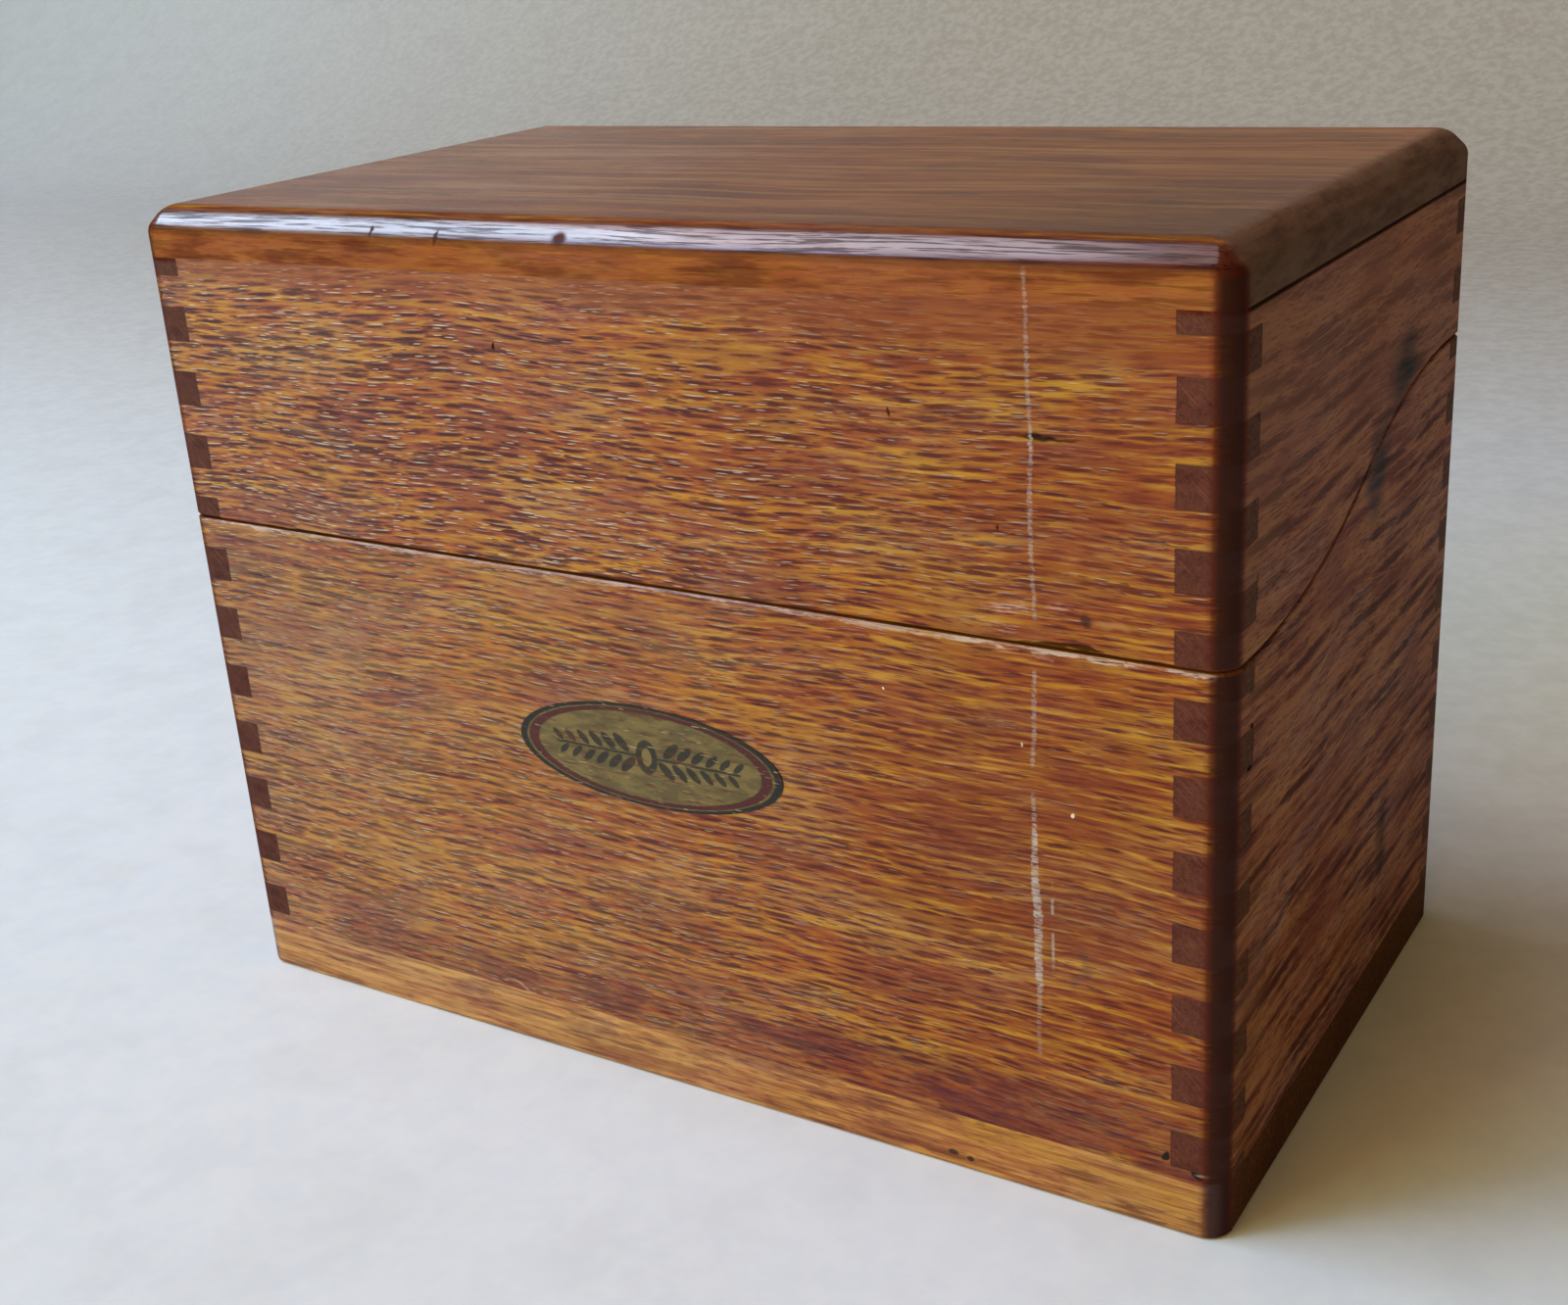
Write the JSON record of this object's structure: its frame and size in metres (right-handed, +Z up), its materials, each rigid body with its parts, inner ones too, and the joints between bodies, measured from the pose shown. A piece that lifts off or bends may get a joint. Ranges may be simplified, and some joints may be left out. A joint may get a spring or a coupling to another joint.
{
  "type": "recipe card box",
  "caption": "Finger-jointed wooden box for recipe cards, sawn across in a curve that rises to the back, with a hinged lid and a small printed oval on the front.",
  "frame": {"origin": "centre of the bounding box, hinges included, on the surface that the box stands on", "axes": "+X to the right seen from the front, +Y from the front to the hinged back, +Z up"},
  "size_m": [0.144, 0.0858, 0.108],
  "materials": {
    "oak": "dark oak under worn satin varnish, glossier on the rounded edges",
    "brass": "dulled plain brass",
    "transfer": "thin printed film, olive gold with a dark red outline"
  },
  "bodies": {
    "base": {"bottom_board": "oak", "base_front": "oak", "base_back": "oak", "base_left_side": "oak", "base_right_side": "oak", "front_transfer": "transfer", "hinge_left_base_leaf": "brass", "hinge_right_base_leaf": "brass", "hinge_left_pin": "brass", "hinge_right_pin": "brass", "base_hinge_screws": "brass"},
    "lid": {"top_board": "oak", "lid_front": "oak", "lid_back": "oak", "lid_left_side": "oak", "lid_right_side": "oak", "hinge_left_lid_leaf": "brass", "hinge_right_lid_leaf": "brass", "lid_hinge_screws": "brass"}
  },
  "joints": [
    {"name": "lid_hinge", "type": "hinge", "parent": "base", "child": "lid", "pos_m": [0, 0.04161, 0.08263], "axis": [-1, 0, 0], "range_deg": [0, 180]}
  ]
}
